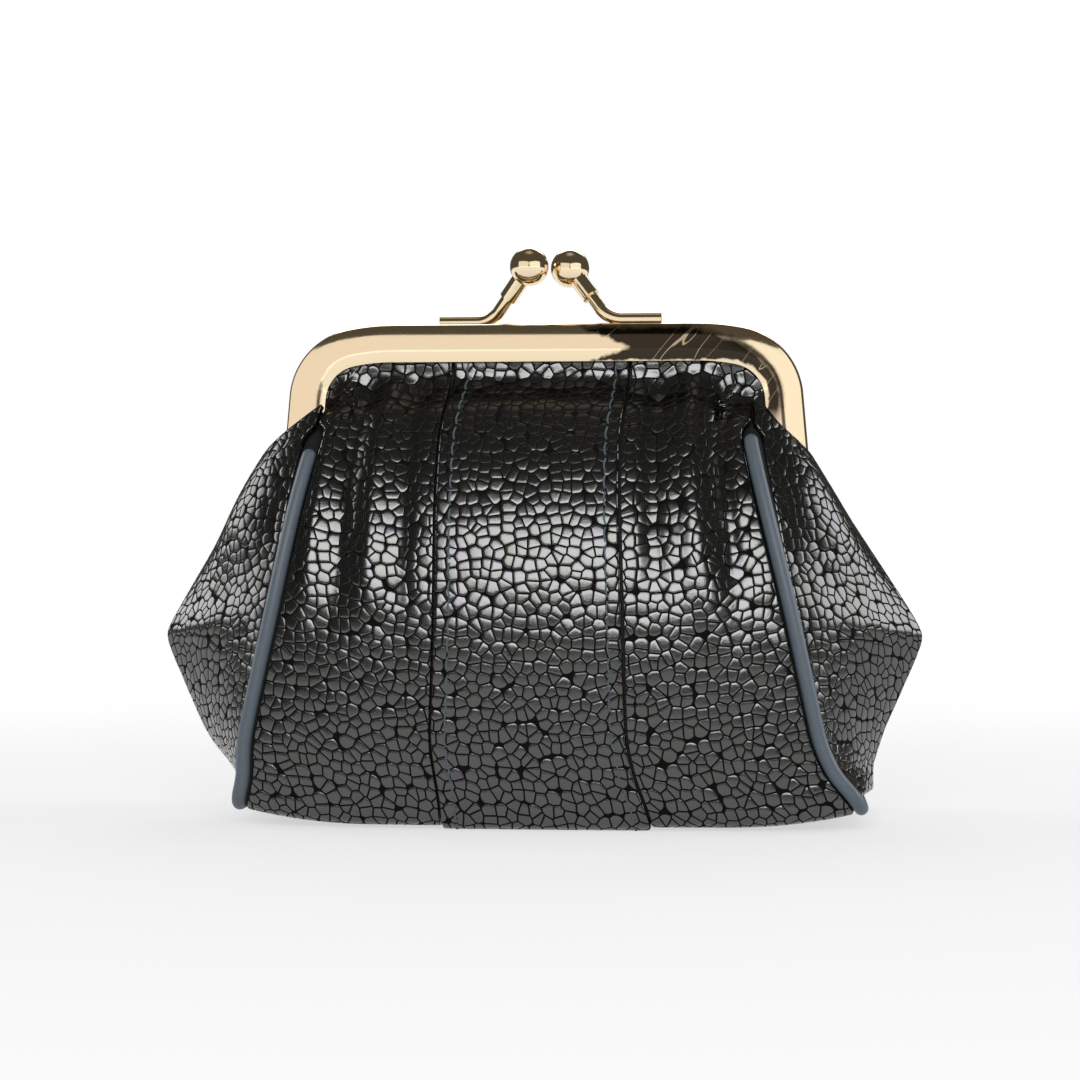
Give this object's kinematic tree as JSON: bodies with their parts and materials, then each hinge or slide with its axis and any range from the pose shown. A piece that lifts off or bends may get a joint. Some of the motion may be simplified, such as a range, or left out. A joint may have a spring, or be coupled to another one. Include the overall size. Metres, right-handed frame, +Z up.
{
  "type": "squeeze coin purse",
  "caption": "Small leather purse with folded gussets in a hinged metal frame that closes with a ball clasp.",
  "frame": {"origin": "under the middle of the base, on the surface that the purse stands on", "axes": "+X to the right as seen from the front, +Y from the front to the back, +Z up"},
  "size_m": [0.1238, 0.047, 0.0931],
  "materials": {
    "frame_metal": "polished pale gold plating",
    "leather": "glossy black, embossed with fine rounded cells",
    "piping": "smooth matte grey-blue",
    "lining": "plain black cloth",
    "paper_cord": "twisted kraft paper"
  },
  "bodies": {
    "bag": {"front_panel_centre": "leather", "front_panel_left": "leather", "front_panel_right": "leather", "rear_panel_centre": "leather", "rear_panel_left": "leather", "rear_panel_right": "leather", "gusset_left": "leather", "gusset_right": "leather", "piping_left": "piping", "piping_right": "piping", "lining_front": "lining", "lining_rear": "lining", "lining_gusset_left": "lining", "lining_gusset_right": "lining", "hinge_rivet_left": "frame_metal", "hinge_rivet_right": "frame_metal"},
    "front_half": {"frame_front": "frame_metal", "clasp_stem_front": "frame_metal", "clasp_knob_front": "frame_metal", "paper_cord_front": "paper_cord"},
    "rear_half": {"frame_rear": "frame_metal", "clasp_stem_rear": "frame_metal", "clasp_knob_rear": "frame_metal", "paper_cord_rear": "paper_cord"}
  },
  "joints": [
    {"name": "front_hinge", "type": "hinge", "parent": "bag", "child": "front_half", "pos_m": [0, 0, 0.056], "axis": [1, 0, 0], "range_deg": [0, 40], "deforming": ["front_panel_centre", "front_panel_left", "front_panel_right", "lining_front", "piping_left", "piping_right", "gusset_left", "gusset_right", "lining_gusset_left", "lining_gusset_right"]},
    {"name": "rear_hinge", "type": "hinge", "parent": "bag", "child": "rear_half", "pos_m": [0, 0, 0.056], "axis": [1, 0, 0], "range_deg": [-40, 0], "deforming": ["rear_panel_centre", "rear_panel_left", "rear_panel_right", "lining_rear"]}
  ],
  "couplings": [
    {"joint": "rear_hinge", "follows": "front_hinge", "ratio": -1}
  ]
}
